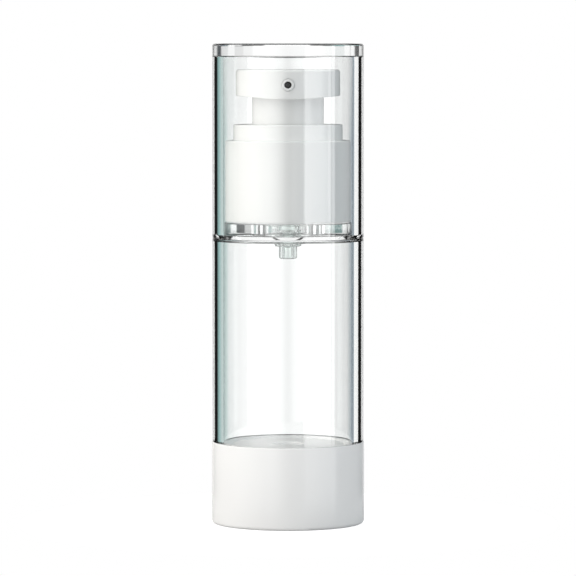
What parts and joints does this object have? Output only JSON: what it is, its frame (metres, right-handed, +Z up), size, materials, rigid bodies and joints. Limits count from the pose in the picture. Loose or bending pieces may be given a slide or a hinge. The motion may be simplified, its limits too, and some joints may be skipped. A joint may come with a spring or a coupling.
{
  "type": "airless pump bottle",
  "caption": "Airless pump bottle: clear thick-walled barrel with a rising follower, white base cup, push-down head with a turning nozzle, and a clear lift-off overcap.",
  "frame": {"origin": "centre of the base cup's underside, on the surface that the bottle stands on", "axes": "+Z up along the bottle's axis; -Y is the front, where the nozzle points at rest; +X is to the right seen from the front"},
  "size_m": [0.034, 0.034, 0.1069],
  "materials": {
    "clear_as": "clear polished, thick walled",
    "white_pp": "smooth moulded white, soft gloss",
    "nozzle_pp": "smooth moulded white",
    "follower_pe": "waxy white",
    "natural_pe": "waxy, natural",
    "natural_pp": "natural translucent",
    "spring_steel": "bright drawn wire",
    "ball_glass": "polished"
  },
  "bodies": {
    "bottle": {"bottle_body": "clear_as", "base_cup": "white_pp", "collar_sleeve": "white_pp", "closure": "white_pp", "pump_housing": "natural_pp", "chaplet": "natural_pp", "neck_gasket": "natural_pe", "return_spring": "spring_steel"},
    "cap": {"overcap": "clear_as"},
    "plunger": {"poppet": "natural_pp"},
    "head": {"actuator": "white_pp", "nozzle_insert": "nozzle_pp", "stem": "natural_pp"},
    "piston": {"pump_piston": "natural_pe"},
    "follower": {"follower_piston": "follower_pe"},
    "ball": {"inlet_ball": "ball_glass"}
  },
  "joints": [
    {"name": "cap_lift", "type": "slide", "parent": "bottle", "child": "cap", "axis": [0, 0, 1], "range_m": [0, 0.046]},
    {"name": "head_press", "type": "slide", "parent": "bottle", "child": "plunger", "axis": [0, 0, -1], "range_m": [0, 0.005], "stiffness_N_per_m": 400, "springref_m": -0.01, "deforming": ["return_spring"]},
    {"name": "head_turn", "type": "hinge", "parent": "plunger", "child": "head", "pos_m": [0, 0, 0.0978], "axis": [0, 0, 1], "continuous": true},
    {"name": "piston_follow", "type": "slide", "parent": "bottle", "child": "piston", "axis": [0, 0, -1], "range_m": [0, 0.0043]},
    {"name": "follower_rise", "type": "slide", "parent": "bottle", "child": "follower", "axis": [0, 0, 1], "range_m": [0, 0.0447]},
    {"name": "ball_lift", "type": "slide", "parent": "bottle", "child": "ball", "axis": [0, 0, 1], "range_m": [0, 0.0007]}
  ],
  "couplings": [
    {"joint": "piston_follow", "follows": "head_press", "ratio": 0.86}
  ]
}
